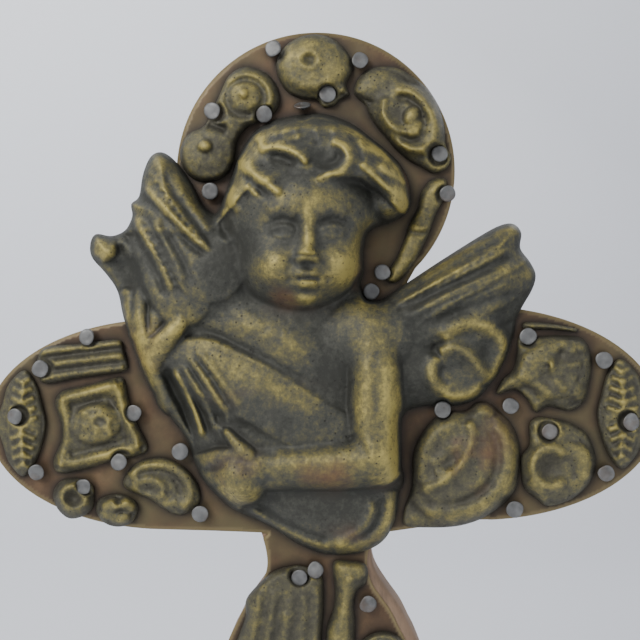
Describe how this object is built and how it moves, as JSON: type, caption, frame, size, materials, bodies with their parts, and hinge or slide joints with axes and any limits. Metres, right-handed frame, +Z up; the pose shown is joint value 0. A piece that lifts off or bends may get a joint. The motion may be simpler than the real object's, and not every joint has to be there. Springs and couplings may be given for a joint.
{
  "type": "processional cross",
  "caption": "Round-headed wooden cross with copper facing, nailed-on bronze reliefs and a central winged child, on a knop and staff socket with a thumbscrew.",
  "frame": {"origin": "centre of the mouth of the staff socket", "axes": "+Z up along the staff, the decorated front faces -Y, +X to the viewer's right"},
  "size_m": [0.336, 0.0913, 0.5961],
  "materials": {
    "wood_upright": "bare, softly worn, vertical grain",
    "wood_crossbar": "bare, softly worn, horizontal grain",
    "peg_wood": "end grain",
    "copper_sheet": "thin sheet, brown and olive patina",
    "cherub_bronze": "dark patina in hollows, rubbed golden high spots",
    "bronze": "dark patina in hollows, rubbed golden high spots",
    "nail_steel": "dull grey, hammered",
    "foot_brass": "aged, turned",
    "foot_steel": "plain",
    "screw_brass": "worn"
  },
  "bodies": {
    "cross": {"upright_board": "wood_upright", "crossbar_board": "wood_crossbar", "lap_pegs": "peg_wood", "copper_facing": "copper_sheet", "cherub_relief": "cherub_bronze", "top_boss": "bronze", "twin_boss_plate": "bronze", "shell_scroll": "bronze", "ribbed_strap": "bronze", "fluted_bar": "bronze", "framed_plaque": "bronze", "c_scroll": "bronze", "knot_flower": "bronze", "ring_mount": "bronze", "left_end_leaf": "bronze", "scallop_cartouche": "bronze", "acanthus_curl": "bronze", "edge_bar": "bronze", "ring_leaf": "bronze", "right_end_leaf": "bronze", "pleated_plate": "bronze", "bone_scroll": "bronze", "round_stud": "bronze", "shaft_rosette": "bronze", "shaft_strap": "bronze", "shaft_husk": "bronze", "halo_nails": "nail_steel", "left_arm_nails": "nail_steel", "right_arm_nails": "nail_steel", "shaft_nails": "nail_steel", "board_ferrule": "foot_brass", "upper_collar": "foot_brass", "knop_upper": "foot_brass", "knop_lower": "foot_brass", "knop_band": "foot_brass", "lower_collar": "foot_brass", "staff_socket": "foot_brass", "socket_rim": "foot_brass", "screw_boss": "foot_brass", "tang_rod": "foot_steel", "tang_pins": "foot_steel", "knop_core": "foot_steel", "tang_washer": "foot_steel", "tang_nut": "foot_steel"},
    "pad": {"pressure_pad": "screw_brass"},
    "screw": {"thumbscrew": "screw_brass"}
  },
  "joints": [
    {"name": "pad_slide", "type": "slide", "parent": "cross", "child": "pad", "axis": [0, -1, 0], "range_m": [0, 0.004]},
    {"name": "screw_turn", "type": "hinge", "parent": "pad", "child": "screw", "pos_m": [0, 0.028, 0.028], "axis": [0, -1, 0], "range_deg": [0, 1440]}
  ],
  "couplings": [
    {"joint": "screw_turn", "follows": "pad_slide", "rad_per_m": 6283.2}
  ]
}
